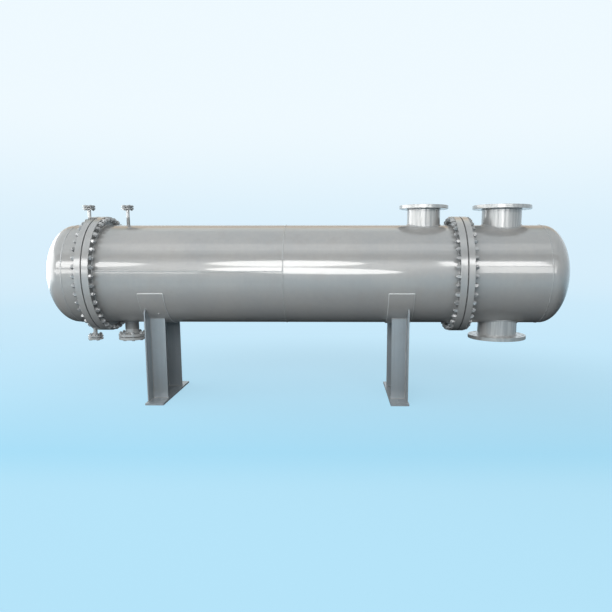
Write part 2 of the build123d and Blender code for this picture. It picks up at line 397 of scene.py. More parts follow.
def make_open_flange(name, spot):
    """Flange paint with a machined raised face round one nozzle's centre line."""
    ring = Finish(name)
    reach = distance(ring.axis("X") - spot["x"], ring.axis("Y"))
    on_face = abs(ring.axis("Z") - FACE_MIDDLE) > FACE_REACH - 0.0005
    rust = ring.noise(0.025, 5.0, 0.65).ramp(0.52, 0.68)
    mottle = ring.noise(0.045, 4.0, 0.6)
    streak = ring.noise(0.03, 3.0, stretch=(1.0, 1.0, 0.1)).ramp(0.42, 0.62)
    painted = ring.mix(streak * 0.5, grey(0.42, WARM), grey(0.28, COOL))
    bare = ring.mix(rust, MACHINED, FLASH_RUST)
    grooves = abs((reach / GROOVE_PITCH) % 1.0 - 0.5) * on_face
    relief = ring.orange_peel(ring.bump(grooves, 0.0002, 0.7))
    return ring.surface(Base_Color=ring.mix(on_face, painted, bare), Normal=relief,
                        Metallic=on_face * (0.5 - rust * 0.8) + 0.4, Coat_Weight=(1 - on_face) * COAT,
                        Roughness=mottle * 0.08 + on_face * 0.08 + 0.28, Coat_Roughness=0.12)


OPEN_FLANGES = {name: make_open_flange(name + "_flange_finish", NOZZLES[name]) for name in NECK_WALLS}


def make_open_neck(name, wall):
    """Brighter, streaky paint on a drawn pipe, and primer in its bore."""
    spot = NOZZLES[name]
    return make_paint(name + "_neck_enamel", 0.43, gloss=0.17, rough=0.3, waves=0.1, metal=0.08,
                      streaks=0.8, bore=(spot["x"], spot["pipe"] - wall))


OPEN_NECKS = {name: make_open_neck(name, wall) for name, wall in NECK_WALLS.items()}
print("open nozzles:", ", ".join(OPEN_FLANGES))

# %% [markdown]
# ## Bare steel, bolting and gaskets
#
# Tubes, baffles and the partition plate inside are unpainted and carry a brown bloom of
# rust. Studs and nuts were sprayed along with the vessel, some thinly and some well, and
# rubbed bare in places under the spanner, so they are part paint and part metal under one
# coat. The gaskets are graphite sheet: nearly black, matt, and slightly fibrous at the
# edge.

# %% Steel, bolting and gasket


def make_bare_steel():
    steel = Finish("bare_steel_with_bloom")
    bloom = steel.noise(0.09, 5.0, 0.65).ramp(0.35, 0.7)
    brushed = steel.noise(0.003, 2.0, stretch=(0.03, 1.0, 1.0))
    colour = steel.mix(bloom, (0.33, 0.31, 0.29, 1.0), (0.17, 0.10, 0.065, 1.0))
    return steel.surface(Base_Color=colour, Metallic=0.85 - bloom * 0.6,
                         Roughness=bloom * 0.3 + brushed * 0.1 + 0.35,
                         Normal=steel.bump(brushed, 0.0001, 0.5))


def make_bolting(name, wear):
    """Sprayed steel in lighter and darker patches, rubbed bare in places as far as wear says."""
    bolting = Finish(name)
    worn = bolting.noise(0.012, 4.0, 0.6).ramp(0.54, 0.68) * wear
    shade = bolting.noise(0.07, 1.0).ramp(0.35, 0.65)
    painted = bolting.mix(shade, grey(0.15, COOL), grey(0.36, COOL))
    colour = bolting.mix(worn, painted, grey(0.50))
    return bolting.surface(Base_Color=colour, Metallic=worn * 0.7, Roughness=0.4 - worn * 0.15,
                           Normal=bolting.bump(bolting.noise(0.003, 3.0), 0.0002, 0.4),
                           Coat_Weight=COAT, Coat_Roughness=0.14, Coat_IOR=COAT_IOR)


def make_gasket():
    sheet = Finish("graphite_sheet")
    fibre = sheet.noise(0.0015, 3.0, stretch=(3.0, 0.6, 0.6))
    colour = sheet.mix(fibre, (0.020, 0.019, 0.018, 1.0), (0.055, 0.05, 0.046, 1.0))
    relief = sheet.bump(fibre, 0.0003, 0.6)
    return sheet.surface(Base_Color=colour, Roughness=fibre * 0.15 + 0.72, Normal=relief)


BARE_STEEL = make_bare_steel()
BOLTING = make_bolting("sprayed_bolting", 1.0)
SMALL_BOLTING = make_bolting("sprayed_small_bolting", 0.2)
GASKET = make_gasket()

# %% [markdown]
# ## Weld beads
#
# An electric weld is laid down as a row of small overlapping puddles, which freeze as
# ripples. The bead's own length is stored on its mesh under the name `along`, so the
# ripples follow the weld round corners and round the shell, which plain coordinates
# could not do.

# %% Weld finish
RIPPLE = 0.0045


def make_weld_paint(name, level):
    weld = Finish(name)
    along = weld.node("ShaderNodeAttribute", {"attribute_name": "along"}, output="Fac")
    ripple = abs((along / RIPPLE) % 1.0 - 0.5) * 2.0
    soot = weld.noise(0.05, 4.0, 0.6).ramp(0.45, 0.75)
    colour = weld.mix(soot * 0.5, grey(level, COOL), grey(level * 0.72, RUSTY))
    relief = weld.bump(ripple, 0.0008, 0.8)
    return weld.surface(Base_Color=colour, Roughness=soot * 0.15 + 0.3, Normal=relief,
                        Coat_Weight=COAT, Coat_Roughness=0.12, Coat_IOR=COAT_IOR)


VESSEL_WELD = make_weld_paint("painted_weld", 0.34)
# The pad's weld is painted much lighter than the shell, a painted highlight for the bright line along the
# pad's edge.
PAD_WELD_HIGHLIGHT = make_weld_paint("painted_pad_weld", 0.55)
SADDLE_WELD = make_weld_paint("painted_saddle_weld", 0.25)

# %% Put the finishes on the model's own nodes


def finish_of(node):
    """The material for one node, from what the node is."""
    part, _, piece = node.rpartition("_")
    if piece == "gasket":
        return GASKET
    if node in ("tube_bundle", "impingement_plate", "pass_partition"):
        return BARE_STEEL
    if piece == "pad":
        return VESSEL_PAINT
    if "saddle" in node:
        return SADDLE_PAINT
    if "vent" in part and piece in ("flange", "blind"):
        return VENT_PAINT
    if part in OPEN_FLANGES and piece == "flange":
        return OPEN_FLANGES[part]
    if part in OPEN_NECKS and piece == "neck":
        return OPEN_NECKS[part]
    if piece in ("course", "barrel", "head"):
        return VESSEL_PAINT
    return FLANGE_PAINT


for node_name, node_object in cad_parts.items():
    for material_slot in node_object.material_slots:
        material_slot.material = finish_of(node_name)
print("finished nodes:", len(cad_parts))

# %% [markdown]
# ## Growing pieces with Geometry Nodes
#
# A hundred studs, two hundred nuts and 760 tubes are the same shape many times over.
# Geometry Nodes place copies by rule, so a recipe with named inputs is written once and
# run for every joint. `grow` runs it on a starting mesh, keeps the result as a plain mesh
# and removes the modifier. `add_piece` joins such meshes into one piece.

# %% Recipe helper


class Recipe(Tree):
    """A Geometry Nodes tree with named inputs."""

    KINDS = {"length": "NodeSocketFloat", "count": "NodeSocketInt", "object": "NodeSocketObject",
             "material": "NodeSocketMaterial"}

    def __init__(self, name, **inputs):
        super().__init__(bpy.data.node_groups.new(name, "GeometryNodeTree"))
        face = self.tree.interface
        face.new_socket("Geometry", in_out="INPUT", socket_type="NodeSocketGeometry")
        face.new_socket("Geometry", in_out="OUTPUT", socket_type="NodeSocketGeometry")
        self.keys = {}
        for label, kind in inputs.items():
            made = face.new_socket(label, in_out="INPUT", socket_type=self.KINDS[kind])
            self.keys[label] = made.identifier
        self.given = self.tree.nodes.new("NodeGroupInput")

    def read(self, label):
        return Value(self, self.given.outputs[label])

    def vector(self, x=0.0, y=0.0, z=0.0):
        return self.node("ShaderNodeCombineXYZ", None, {"X": x, "Y": y, "Z": z})

    def shape(self, label):
        """The mesh of an object that is an input."""
        return self.node("GeometryNodeObjectInfo", None, {"Object": self.read(label)}, output="Geometry")

    def join(self, *parts):
        node = self.tree.nodes.new("GeometryNodeJoinGeometry")
        for part in parts:
            self.tree.links.new(part.socket, node.inputs[0])
        return Value(self, node.outputs[0])

    def give(self, geometry):
        """End the tree: make instances real and set the material."""
        real = self.node("GeometryNodeRealizeInstances", None, {0: geometry})
        finish = self.read("material")
        done = self.node("GeometryNodeSetMaterial", None, {"Geometry": real, "Material": finish})
        end = self.tree.nodes.new("NodeGroupOutput")
        self.tree.links.new(done.socket, end.inputs[0])


def link_mesh(name, mesh):
    piece = bpy.data.objects.new(name, mesh)
    bpy.context.scene.collection.objects.link(piece)
    return piece


def grow(recipe, start=None, **settings):
    """Run a recipe and return what it made as a plain mesh."""
    maker = link_mesh("maker", start or bpy.data.meshes.new("empty_start"))
    modifier = maker.modifiers.new("recipe", "NODES")
    modifier.node_group = recipe.tree
    for label, value in settings.items():
        modifier[recipe.keys[label]] = value
    evaluated = maker.evaluated_get(bpy.context.evaluated_depsgraph_get())
    made = bpy.data.meshes.new_from_object(evaluated)
    maker.modifiers.remove(modifier)
    bpy.data.objects.remove(maker)
    return made


def add_piece(name, meshes, smooth_angle=None):
    """Join meshes into one piece that rides on the vessel."""
    whole = bmesh.new()
    materials = []
    for mesh in meshes:
        used = mesh.materials[mesh.polygons[0].material_index]
        if used not in materials:
            materials.append(used)
        before = len(whole.faces)
        whole.from_mesh(mesh)
        whole.faces.ensure_lookup_table()
        for face in whole.faces[before:]:
            face.material_index = materials.index(used)
    mesh = bpy.data.meshes.new(name)
    whole.to_mesh(mesh)
    whole.free()
    for material in materials:
        mesh.materials.append(material)
    if smooth_angle is not None:
        mesh.shade_smooth()
        mesh.set_sharp_from_angle(angle=math.radians(smooth_angle))
    piece = link_mesh(name, mesh)
    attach(piece, "root")
    print(name, "faces:", len(mesh.polygons))
    return piece


# %% [markdown]
# ## Nuts and studs
#
# A heavy hex nut is a six-sided prism whose corners are cut back by a cone, so its top
# ends in a circle. That little chamfer is what flashes white on the nuts in the
# photograph. The nut is built from three rings of twelve points: a plain ring, a ring
# that dips at the six corners, and the round top. The stud is a rod with a cut-back tip.

# %% Nut and stud meshes


def rings_to_mesh(name, rings, bored=False):
    """Close a stack of rings, each with as many points, into a solid. A bored one has no ends."""
    shape = bmesh.new()
    layers = [[shape.verts.new(point) for point in ring] for ring in rings]
    for low, high in zip(layers, layers[1:] + layers[:1] if bored else layers[1:]):
        for i in range(len(low)):
            j = (i + 1) % len(low)
            shape.faces.new((low[i], low[j], high[j], high[i]))
    if not bored:
        shape.faces.new(layers[-1])
        shape.faces.new(list(reversed(layers[0])))
    mesh = bpy.data.meshes.new(name)
    shape.to_mesh(mesh)
    shape.free()
    return mesh


def ring_points(radius, z, count=12, turn=0.0):
    angles = [2 * math.pi * i / count + turn for i in range(count)]
    return [(radius * math.cos(a), radius * math.sin(a), z) for a in angles]


def make_nut(across_flats, height):
    """A hex nut or bolt head standing on zero, chamfered at its top."""
    flat = across_flats / 2
    corner = flat / math.cos(math.pi / 6)
    top = flat * 0.95
    dip = (corner - top) * math.tan(math.radians(30))
    base, shoulder = [], []
    for i in range(12):
        radius, drop = (corner, dip) if i % 2 == 0 else (flat, dip * 0.2)
        angle = 2 * math.pi * i / 12
        x, y = radius * math.cos(angle), radius * math.sin(angle)
        base.append((x, y, 0.0))
        shoulder.append((x, y, height - drop))
    return rings_to_mesh("nut", [base, shoulder, ring_points(top, height)])


def make_stud(radius, low, high):
    """A rod from low to high, its two tips cut back."""
    tip = radius * 0.3
    rings = [ring_points(radius - tip, low), ring_points(radius, low + tip),
             ring_points(radius, high - tip), ring_points(radius - tip, high)]
    return rings_to_mesh("stud", rings)


# %% [markdown]
# ## One recipe for every bolted joint
#
# All the bolting on the vessel is a ring of studs round a centre line, with a nut at
# each end. The recipe puts points on a circle, stands a stud on each, and sits a nut on
# the upper seat and another, turned over, on the lower one. Fitters leave each nut at
# whatever angle it tightens to, so every nut gets its own turn from a fixed seed.

# %% Bolt ring recipe


def make_bolt_ring():
    ring = Recipe("bolt_ring", count="count", circle="length", first="length", low_seat="length",
                  high_seat="length", stud="object", low_nut="object", high_nut="object",
                  seed="count", material="material")
    number = ring.node("GeometryNodeInputIndex")
    angle = number * (2 * math.pi) / ring.read("count") + ring.read("first")
    cosine = angle.math("COSINE", angle)
    sine = angle.math("SINE", angle)
    spot = ring.vector(cosine * ring.read("circle"), sine * ring.read("circle"))
    points = ring.node("GeometryNodePoints", None, {"Count": ring.read("count"), "Position": spot})

    def stand(label, height, flip, salt):
        """Put one object on every point, at one height and at its own turn."""
        shape = ring.shape(label)
        turn = ring.node("FunctionNodeRandomValue", {"data_type": "FLOAT"},
                         {"Min": 0.0, "Max": math.pi / 3, "Seed": ring.read("seed") + salt}, output="Value")
        lifted = ring.node("GeometryNodeSetPosition", None,
                           {"Geometry": points, "Offset": ring.vector(z=height)})
        return ring.node("GeometryNodeInstanceOnPoints", None,
                         {"Points": lifted, "Instance": shape, "Rotation": ring.vector(flip, 0.0, turn)})

    ring.give(ring.join(stand("stud", 0.0, 0.0, 0),
                        stand("high_nut", ring.read("high_seat"), 0.0, 1),
                        stand("low_nut", ring.read("low_seat"), math.pi, 2)))
    return ring


BOLT_RING = make_bolt_ring()
ALONG_VESSEL = Matrix.Translation((0, 0, AXIS_Z)) @ Matrix.Rotation(math.pi / 2, 4, "Y")


def bolt_mesh(count, circle, seats, stud, nuts, first, seed, place):
    """One joint's bolting between two seats.

    A stud is (radius, low end, high end), and nuts are (flats, low height, high height, finish)."""
    flats, low_height, high_height, finish = nuts
    tools = [link_mesh("stud_shape", make_stud(*stud)),
             link_mesh("low_nut_shape", make_nut(flats, low_height)),
             link_mesh("high_nut_shape", make_nut(flats, high_height))]
    mesh = grow(BOLT_RING, count=count, circle=circle, first=first,
                low_seat=seats[0], high_seat=seats[1], stud=tools[0],
                low_nut=tools[1], high_nut=tools[2], seed=seed, material=finish)
    for tool in tools:
        bpy.data.objects.remove(tool)
    mesh.transform(place)
    return mesh


# %% [markdown]
# ## The two body joints
#
# Forty studs clamp each end to its tubesheet. They pass through the flange, the gasket
# and the tubesheet, and take a nut on the outside of each. One stud stands exactly at
# the front of the rim, as in the photograph.

# %% Body bolting
BODY_STUDS = 40
BODY_CIRCLE = 0.4575
BODY_NUT = (0.036, 0.023, 0.023, BOLTING)
BODY_STUD_R = 0.012
BODY_STUD_OUT = 0.033


def body_joint(low, high, seed):
    stud = (BODY_STUD_R, low - BODY_STUD_OUT, high + BODY_STUD_OUT)
    return bolt_mesh(BODY_STUDS, BODY_CIRCLE, (low, high), stud, BODY_NUT, 0.0, seed, ALONG_VESSEL)


add_piece("rear_joint_bolting", [body_joint(-FLANGE_FACE, -SHELL_END, 3)])
add_piece("channel_joint_bolting", [body_joint(SHELL_END, FLANGE_FACE, 7)])

# %% [markdown]
# ## Bolting of the blinded nozzles
#
# The shell outlet and the rear drain are closed by blind flanges on studs. The two
# small vents on top have smaller bolting of the same build. All of it has low heads on
# the outer side, so a bolt is a stud whose high nut is only as tall as a head.

# %% Nozzle bolting


# Stud radius, width across flats, nut and head height, and how far the stud stands out.
M16_BOLT = (0.008, 0.0245, (0.014, 0.0065), (0.020, 0.004))
M10_BOLT = (0.005, 0.0165, (0.008, 0.0045), (0.010, 0.003))


def blinded(name, count, circle, bolt, seed):
    """Bolting of one blinded nozzle, drawn upwards from the vessel axis and then placed."""
    spot = NOZZLES[name]
    stud_r, flats, heights, out = bolt
    blind_low, blind_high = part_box(name + "_blind")
    outer = max(abs(blind_low.z - AXIS_Z), abs(blind_high.z - AXIS_Z))
    seats = (spot["back"], outer)
    stud = (stud_r, seats[0] - out[0], seats[1] + out[1])
    place = Matrix.Translation((spot["x"], 0, AXIS_Z))
    if spot["side"] < 0:
        place = place @ Matrix.Rotation(math.pi, 4, "X")
    nuts = (flats, *heights, SMALL_BOLTING)
    mesh = bolt_mesh(count, circle, seats, stud, nuts, math.pi / count, seed, place)
    add_piece(name + "_bolting", [mesh])


blinded("shell_outlet", 8, 0.09525, M16_BOLT, 11)
blinded("rear_drain", 4, 0.04445, M16_BOLT, 13)
blinded("shell_vent", 4, 0.0349, M10_BOLT, 17)
blinded("rear_vent", 4, 0.0349, M10_BOLT, 19)

# %% [markdown]
# ## One recipe for every weld
#
# A weld bead is a rounded rope of metal that follows a joint, half sunk into the corner.
# The recipe takes a path, divides it into short steps, lets the bead's thickness waver a
# little as a welder's hand does, and sweeps a small ring along it. It also stores the
# length walked so far as `along`, for the ripples in the weld finish.

# %% Weld recipe


def make_weld_recipe():
    weld = Recipe("weld_bead", bead="length", step="length", waver="length", seed="count",
                  material="material")
    curve = weld.node("GeometryNodeMeshToCurve", None, {"Mesh": weld.read("Geometry")})
    curve = weld.node("GeometryNodeResampleCurve", {"mode": "LENGTH"},
                      {"Curve": curve, "Length": weld.read("step")})
    walked = weld.node("GeometryNodeSplineParameter", output="Length")
    curve = weld.node("GeometryNodeStoreNamedAttribute", {"data_type": "FLOAT", "domain": "POINT"},
                      {"Geometry": curve, "Name": "along", "Value": walked})
    draw = weld.node("FunctionNodeRandomValue", {"data_type": "FLOAT"},
                     {"Min": -1.0, "Max": 1.0, "Seed": weld.read("seed")}, output="Value")
    size = weld.read("bead") * (draw * weld.read("waver") + 1.0)
    ring = weld.node("GeometryNodeCurvePrimitiveCircle", {"mode": "RADIUS"}, {"Resolution": 8, "Radius": 1.0})
    inputs = {"Curve": curve, "Profile Curve": ring, "Scale": size, "Fill Caps": True}
    bead = weld.node("GeometryNodeCurveToMesh", None, inputs)
    smooth = weld.node("GeometryNodeSetShadeSmooth", None, {"Geometry": bead})
    weld.give(smooth)
    return weld


WELD_BEAD = make_weld_recipe()
WAVER = 0.10
LIFT = 0.001


def weld_mesh(paths, bead, material=VESSEL_WELD, step=0.009, seed=1):
    """Sweep beads along paths. A path is a list of points, and closes if its ends meet."""
    start = bpy.data.meshes.new("weld_paths")
    points, edges = [], []
    for path in paths:
        closed = (Vector(path[0]) - Vector(path[-1])).length < 1e-6
        first = len(points)
        kept = path[:-1] if closed else path
        points.extend(kept)
        edges.extend((first + i, first + i + 1) for i in range(len(kept) - 1))
        if closed:
            edges.append((first + len(kept) - 1, first))
    start.from_pydata(points, edges, [])
    return grow(WELD_BEAD, start, bead=bead, step=step, waver=WAVER, seed=seed, material=material)


def on_shell(x, radius, degrees):
    """A point round the vessel axis, in degrees up from the front."""
    angle = math.radians(degrees)
    return (x, -radius * math.cos(angle), AXIS_Z + radius * math.sin(angle))


def round_path(x, radius, first=0.0, last=360.0, steps=180):
    """Part of a circle round the vessel axis."""
    return [on_shell(x, radius, first + (last - first) * i / steps) for i in range(steps + 1)]


# %% [markdown]
# ## Seams of the vessel
#
# Each rolled plate closes with one straight seam, and plates and heads join at round
# seams. Good practice turns the straight seams of neighbouring plates apart, so that
# four corners never meet at one point. Only the left course shows its seam in front,
# five degrees above the middle. Butt seams stand about two millimetres proud.

# %% Seam welds
CROWN = 0.0031
SEAM_BEAD = 0.0065
CORNER_BEAD = 0.0055

seam_radius = SHELL_R + CROWN - SEAM_BEAD
round_seams = [round_path(x, seam_radius) for x in (SEAM_X, REAR_SEAM, CHANNEL_SEAM)]
straight_seams = [
    [on_shell(left, seam_radius, turn), on_shell(right, seam_radius, turn)]
    for left, right, turn in ((-SHELL_END, SEAM_X, SEAM_TURN), (SEAM_X, SHELL_END, 142.0),
                              (FLANGE_FACE, CHANNEL_SEAM, 205.0), (REAR_SEAM, -FLANGE_FACE, 118.0))
]
corner_welds = [round_path(side * x, SHELL_R + LIFT) for side in (-1, 1)
                for x in (SHELL_END - LIFT, FLANGE_FACE + LIFT)]
add_piece("vessel_seam_welds", [weld_mesh(round_seams + straight_seams, SEAM_BEAD, seed=5)])
add_piece("flange_corner_welds", [weld_mesh(corner_welds, CORNER_BEAD, seed=6)])

# %% [markdown]
# ## Welds round the nozzles
#
# Where a pipe runs into a shell of ten times its size, the joint is not a flat circle
# but a saddle-shaped curve that dips over the shell's sides. Each point goes round the
# pipe and takes its height from the shell's circle. A second, flat bead joins each
# pipe to the back of its flange.

# %% Nozzle welds
PIPE_STEPS = 96
SMALL_LIFT = LIFT / 2


def round_pipe(spot, lift):
    """Points round a pipe and back to the first, as offsets from its centre line."""
    ring = ring_points(spot["pipe"] + lift, 0.0, PIPE_STEPS)
    return ring + ring[:1]


def branch_path(spot, lift):
    """Where a pipe meets the shell, lifted a little off both."""
    shell = SHELL_R + lift
    return [(spot["x"] + along, across, AXIS_Z + spot["side"] * math.sqrt(shell ** 2 - across ** 2))
            for along, across, _ in round_pipe(spot, lift)]


def back_path(spot, lift):
    """Where a pipe meets the back of its flange, lifted a little off both."""
    z = AXIS_Z + spot["side"] * (spot["back"] - lift)
    return [(spot["x"] + along, across, z) for along, across, _ in round_pipe(spot, lift)]


big = [NOZZLES[name] for name in OPEN_FLANGES]
outlet = NOZZLES["shell_outlet"]
small = [NOZZLES[name] for name in ("shell_vent", "rear_vent", "rear_drain")]
big_paths = [path(spot, LIFT) for path in (branch_path, back_path) for spot in big]
outlet_paths = [branch_path(outlet, LIFT), back_path(outlet, LIFT)]
small_paths = [path(spot, SMALL_LIFT) for spot in small for path in (branch_path, back_path)]
nozzle_welds = [weld_mesh(big_paths, 0.006, seed=21), weld_mesh(outlet_paths, 0.0045, seed=22),
                weld_mesh(small_paths, 0.003, step=0.006, seed=23)]
add_piece("nozzle_welds", nozzle_welds)

# %% [markdown]
# ## Welds of the saddles
#
# A saddle is a web and two ribs on a base plate, welded under a curved pad, and the pad
# is welded to the shell all round. The beads here follow the edges of the plates, which
# are read from the boxes of the saddle's own nodes.

# %% Saddle welds
FILLET = 0.0045
PAD_FILLET = FILLET * 1.3
RIB_THICKNESS = 0.010
GRIP_SHORT = 0.034


def bottom_arc(x, radius, half_angle, steps=60):
    """An arc round the underside of the vessel, from the front to the back."""
    return round_path(x, radius, -90 - half_angle, -90 + half_angle, steps)


def saddle_paths(name):
    """The edge of one saddle's pad, and the edges of its web and ribs."""
    pad_low, pad_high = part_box(name + "_pad")
    web_low, web_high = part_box(name + "_web")
    base_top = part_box(name + "_base")[1].z
    rib_low, rib_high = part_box(name + "_ribs")
    reach = math.degrees(math.asin(pad_high.y / PAD_R))
    left = bottom_arc(pad_low.x, SHELL_R + LIFT, reach)
    right = bottom_arc(pad_high.x, SHELL_R + LIFT, reach)
    outline = [left + right[::-1] + left[:1]]

    paths = []
    grip = math.degrees(math.asin((web_high.y - GRIP_SHORT) / PAD_R))
    for x in (web_low.x, web_high.x):
        paths.append(bottom_arc(x, PAD_R + LIFT, grip, 40))
        paths.append([(x, web_low.y, base_top), (x, web_high.y, base_top)])
    corner_x = rib_low.x if pad_low.x < 0 and web_low.x < rib_low.x else rib_high.x
    for side in (-1, 1):
        for y in (side * rib_high.y, side * (rib_high.y - RIB_THICKNESS)):
            top = AXIS_Z - math.sqrt(PAD_R ** 2 - y ** 2)
            paths.append([(rib_low.x, y, base_top), (rib_high.x, y, base_top)])
            paths.append([(rib_low.x, y, top), (rib_high.x, y, top)])
            paths.append([(corner_x, y, base_top), (corner_x, y, top)])
    return outline, paths


for saddle, seed in (("left_saddle", 31), ("right_saddle", 32)):
    pad_edge, plate_edges = saddle_paths(saddle)
    beads = [weld_mesh(pad_edge, PAD_FILLET, PAD_WELD_HIGHLIGHT, seed=seed),
             weld_mesh(plate_edges, FILLET, SADDLE_WELD, seed=seed)]
    add_piece(saddle + "_welds", beads)

# %% [markdown]
# ## The pad's tell-tale plug
#
# A pad that is welded all round would trap gas, so it has a small drilled hole that lets
# it breathe while it is welded and later tells of a leak. A little hex plug closes it.
# The left pad has it in front. It is one bolt from the same nut and stud shapes, turned
# to stand on the curve of the pad.

# %% Tell-tale plug
PLUG_X = -0.968
PLUG_DEGREES = -48.4

plug_place = (Matrix.Translation(on_shell(PLUG_X, PAD_R - LIFT, PLUG_DEGREES))
              @ Matrix.Rotation(math.radians(90 - PLUG_DEGREES), 4, "X"))
plug_parts = [make_nut(0.014, 0.0055), make_stud(0.0045, -0.004, 0.0085)]
for part in plug_parts:
    part.materials.append(SMALL_BOLTING)
    part.transform(plug_place)
add_piece("left_pad_plug", plug_parts)

# %% [markdown]
# ## The tube field
#
# Inside the shell 760 tubes lie in rows that form equal triangles, as tight as a
# tubesheet can be drilled. The recipe numbers the points of a grid, shifts every second
# row by half a pitch, and drops those outside the bundle, above its flat top, or in the
# lane that the partition plate needs. It then puts one tube on each.

# %% Tube field recipe


def make_tube_field():
    field = Recipe("tube_field", columns="count", rows="count", pitch="length", reach="length",
                   top="length", lane="length", tube="object", material="material")
    pitch = field.read("pitch")
    number = field.node("GeometryNodeInputIndex")
    row = number.math("FLOOR", (number + 0.5) / field.read("columns"))
    column = number - row * field.read("columns")
    across = (column - field.read("columns") / 2 + (row % 2.0) * 0.5) * pitch
    up = (row - (field.read("rows") - 1) / 2) * pitch * (math.sqrt(3) / 2)
    count = field.read("columns") * field.read("rows")
    points = field.node("GeometryNodePoints", None, {"Count": count, "Position": field.vector(up, across)})
    place = field.node("GeometryNodeInputPosition")
    height = field.part(place, "X")
    side = field.part(place, "Y")
    outside = distance(height, side) > field.read("reach")
    drop = (outside + ((height * -1.0) > field.read("top")) + (abs(height) < field.read("lane"))) > 0.5
    kept = field.node("GeometryNodeDeleteGeometry", {"domain": "POINT"},
                      {"Geometry": points, "Selection": drop})
    inputs = {"Points": kept, "Instance": field.shape("tube")}
    field.give(field.node("GeometryNodeInstanceOnPoints", None, inputs))
    return field


TUBE_FIELD = make_tube_field()
TUBE_R = 0.0095
TUBE_BORE = 0.0075
TUBE_SIDES = 10
TUBE_PITCH = 0.025
TUBE_PROUD = 0.003
HALF_LANE = 0.017
bundle_low, bundle_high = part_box("tube_bundle")
BUNDLE_TOP = bundle_high.z - AXIS_Z
BUNDLE_R = bundle_high.y


def all_tubes(low, high):
    """Every tube of the bundle between two places along the vessel, each with its bore."""
    rings = [ring_points(radius, x, TUBE_SIDES)
             for radius, x in ((TUBE_R, low), (TUBE_R, high), (TUBE_BORE, high), (TUBE_BORE, low))]
    tube = link_mesh("tube_shape", rings_to_mesh("tube", rings, bored=True))
    mesh = grow(TUBE_FIELD, columns=36, rows=41, pitch=TUBE_PITCH, reach=BUNDLE_R - TUBE_R,
                top=BUNDLE_TOP - TUBE_R, lane=HALF_LANE, tube=tube, material=BARE_STEEL)
    bpy.data.objects.remove(tube)
    mesh.transform(ALONG_VESSEL)
    return mesh


tubes = all_tubes(-SHELL_END, SHELL_END)
bundle = add_piece("tube_bundle_tubes", [tubes], smooth_angle=50)
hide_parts("tube_bundle")
print("tubes:", len(tubes.polygons) // (4 * TUBE_SIDES))

# %% [markdown]
# ## Baffles and tube ends
#
# Baffles are discs with a quarter cut away, turned over one after the other, so that
# the flow winds up and down across the tubes. Beyond the tubesheet each tube stands
# three millimetres proud, which shows through the open channel nozzles.

# %% Baffles and tube ends
BAFFLE_COUNT = 9
BAFFLE_THICKNESS = 0.008
CUT = BUNDLE_R * 0.5


def make_baffle(x, cut_below):
    """A disc with a quarter of its height cut away below or above, and never above the bundle's top."""
    low, high = (-CUT, BUNDLE_TOP) if cut_below else (-BUNDLE_R, CUT)
    outline = []
    for y, z, _ in ring_points(BUNDLE_R, 0.0, 96):
        level = min(max(z, low), high)
        if level != z:
            edge = math.sqrt(BUNDLE_R ** 2 - level ** 2)
            y = math.copysign(edge, y) if abs(y) > 1e-9 else edge
        outline.append((y, level))
    corners = [p for i, p in enumerate(outline) if (Vector(p) - Vector(outline[i - 1])).length > 1e-6]
    faces = (x - BAFFLE_THICKNESS / 2, x + BAFFLE_THICKNESS / 2)
    mesh = rings_to_mesh("baffle", [[(face_x, y, AXIS_Z + z) for y, z in corners] for face_x in faces])
    mesh.materials.append(BARE_STEEL)
    return mesh


spacing = 2 * SHELL_END / (BAFFLE_COUNT + 1)
baffles = [make_baffle(-SHELL_END + spacing * (i + 1), i % 2 == 0) for i in range(BAFFLE_COUNT)]
add_piece("tube_bundle_baffles", baffles)

tube_ends = all_tubes(TUBESHEET_FACE - 0.001, TUBESHEET_FACE + TUBE_PROUD)
add_piece("channel_side_tube_ends", [tube_ends], smooth_angle=50)

# %% [markdown]
# ## The studio
#
# The vessel stands on a plain pale blue floor that fades with distance into a pale sky of
# the same colour, so that there is no horizon line. Both show their pale colour only
# where they are looked at, straight on or in a reflection. For the light that they throw
# on the vessel, the floor is dark and the sky is a dim white.

# %% Floor and sky
HORIZON = (0.69, 0.86, 0.97, 1.0)
HIGH_SKY = (0.86, 0.95, 1.0, 1.0)
NEAR_FLOOR = (0.40, 0.74, 0.94, 1.0)
NEAR_DEPTH = 3.4
FRONT_FLOOR = (0.465, 0.772, 0.945, 1.0)
FRONT_EDGE = (1.4, 2.1)
FLOOR_GLOW = 0.75
LIT_REACH = (1.4, 3.6)
FLOOR_REACH = 300
CLEAR_CENTRE = (0.25, 3.0)
CLEAR_REACH = 8.0
DARK_FLOOR = (0.19, 0.225, 0.25, 1.0)
SKY_LIGHT = 0.27
HAZE = (-0.02, 0.22)
SHADED_SIDE = (-0.3, 0.8)
SHADE = 0.55


def seen_ray(tree):
    """One where the camera, a reflection or a view through glass looks at the surface."""
    total = sum(tree.node("ShaderNodeLightPath", output=name)
                for name in ("Is Camera Ray", "Is Glossy Ray", "Is Transmission Ray"))
    return total.math("MINIMUM", total, 1.0)


